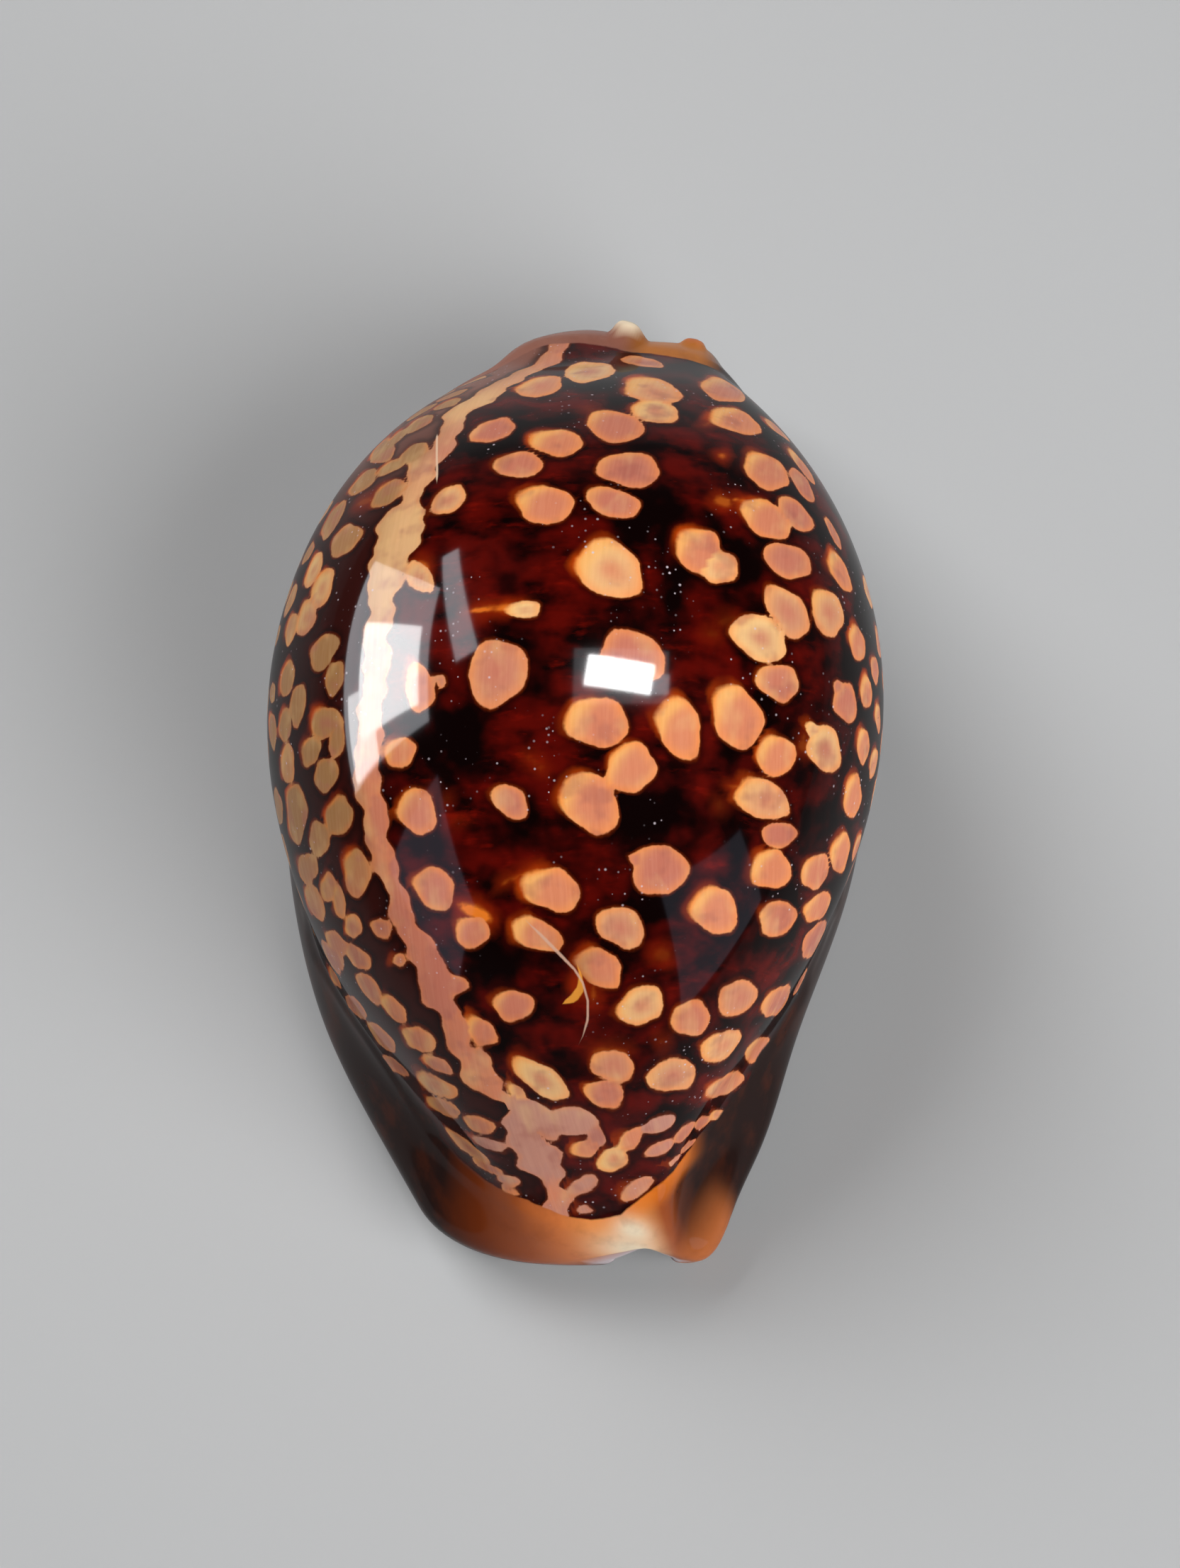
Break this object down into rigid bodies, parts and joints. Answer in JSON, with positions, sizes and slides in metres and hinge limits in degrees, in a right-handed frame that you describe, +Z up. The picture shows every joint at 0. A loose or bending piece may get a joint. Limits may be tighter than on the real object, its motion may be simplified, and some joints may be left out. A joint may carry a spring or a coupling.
{
  "type": "cowrie shell",
  "caption": "Humped, glossy cowrie shell with pale round spots on a near-black back, dark thick margins and a toothed slot along its flat base.",
  "frame": {"origin": "centre of the shell's footprint, on the surface that the base rests on", "axes": "+Y towards the spire end, -Y towards the narrow front end, +Z up through the hump, +X towards the pillar lip's side and -X towards the outer lip's side"},
  "size_m": [0.0518, 0.082, 0.0424],
  "materials": {
    "shell": "high natural glaze, dark mahogany with pale spots"
  },
  "bodies": {
    "root": {"shell": "shell"}
  },
  "joints": []
}
